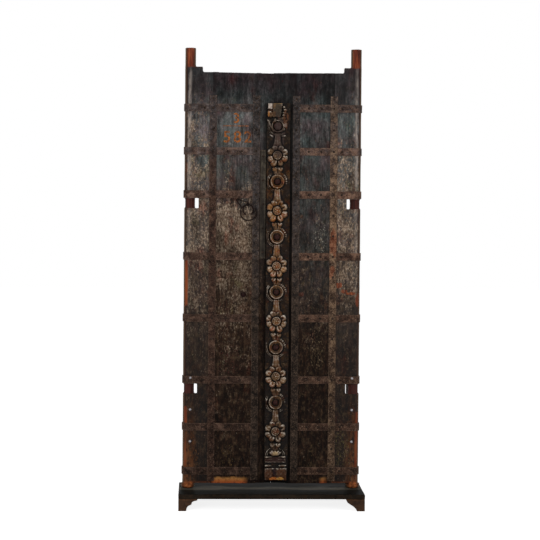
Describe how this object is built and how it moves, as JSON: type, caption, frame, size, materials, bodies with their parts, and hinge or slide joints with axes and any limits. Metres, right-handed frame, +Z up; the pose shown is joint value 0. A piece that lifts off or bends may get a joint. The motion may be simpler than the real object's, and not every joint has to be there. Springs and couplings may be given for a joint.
{
  "type": "door",
  "caption": "Old timber pivot door: two iron-strapped leaves, a carved centre bar and a ring pull, standing upright on a low black platform with bracket feet.",
  "frame": {"origin": "on the floor, under the middle of the stand", "axes": "+Z up, +X to the right seen from the front; the carved front faces -Y"},
  "size_m": [0.882, 0.3, 2.191],
  "materials": {
    "stand_black": "satin black paint, worn",
    "foot_brown": "dark stained, worn edges",
    "upright_black": "matt black paint",
    "screw_steel": "plain steel",
    "bright_steel": "bright steel",
    "stile_wood": "old red-brown wood, rubbed",
    "plank_wood": "old dark paint worn to bare wood",
    "ledge_wood": "old bare wood",
    "strap_iron": "rusty forged iron",
    "nail_iron": "rusty forged iron",
    "lath_wood": "grey worn wood",
    "stud_wood": "turned wood",
    "stud_iron": "rusty iron",
    "carved_wood": "carved golden-brown wood, worn pale on top",
    "ring_iron": "dark forged iron",
    "iron_wire": "dark iron wire"
  },
  "bodies": {
    "door": {"stand_board": "stand_black", "stand_foot_left": "foot_brown", "stand_foot_right": "foot_brown", "upright_left": "upright_black", "upright_right": "upright_black", "foot_screws": "screw_steel", "upright_screws": "screw_steel", "stile_bolts": "bright_steel", "bolt_nuts": "bright_steel", "left_pivot_stile": "stile_wood", "left_wide_plank": "plank_wood", "left_meeting_stile": "plank_wood", "left_ledge_1": "ledge_wood", "left_ledge_2": "ledge_wood", "left_ledge_3": "ledge_wood", "left_ledge_4": "ledge_wood", "left_strap_1": "strap_iron", "left_strap_2": "strap_iron", "left_strap_3": "strap_iron", "left_strap_4": "strap_iron", "left_strap_5": "strap_iron", "left_strap_6": "strap_iron", "left_strap_7": "strap_iron", "left_strap_8": "strap_iron", "left_outer_upright_strap": "strap_iron", "left_inner_upright_strap": "strap_iron", "left_nails": "nail_iron", "left_cover_lath": "lath_wood", "left_wooden_stud": "stud_wood", "right_pivot_stile": "stile_wood", "right_wide_plank": "plank_wood", "right_meeting_stile": "plank_wood", "right_ledge_1": "ledge_wood", "right_ledge_2": "ledge_wood", "right_ledge_3": "ledge_wood", "right_ledge_4": "ledge_wood", "right_strap_1": "strap_iron", "right_strap_2": "strap_iron", "right_strap_3": "strap_iron", "right_strap_4": "strap_iron", "right_strap_5": "strap_iron", "right_strap_6": "strap_iron", "right_strap_7": "strap_iron", "right_strap_8": "strap_iron", "right_outer_upright_strap": "strap_iron", "right_inner_upright_strap": "strap_iron", "right_nails": "nail_iron", "right_wooden_stud": "stud_wood", "right_iron_stud": "stud_iron", "carved_bar": "carved_wood", "carved_bar_nails": "nail_iron", "ring_staple": "ring_iron", "tie_wire": "iron_wire"},
    "ring": {"ring_pull": "ring_iron", "wire_loop": "iron_wire"}
  },
  "joints": [
    {"name": "ring_swing", "type": "hinge", "parent": "door", "child": "ring", "pos_m": [-0.118, -0.0095, 1.4425], "axis": [-1, 0, 0], "range_deg": [-4, 165]}
  ]
}
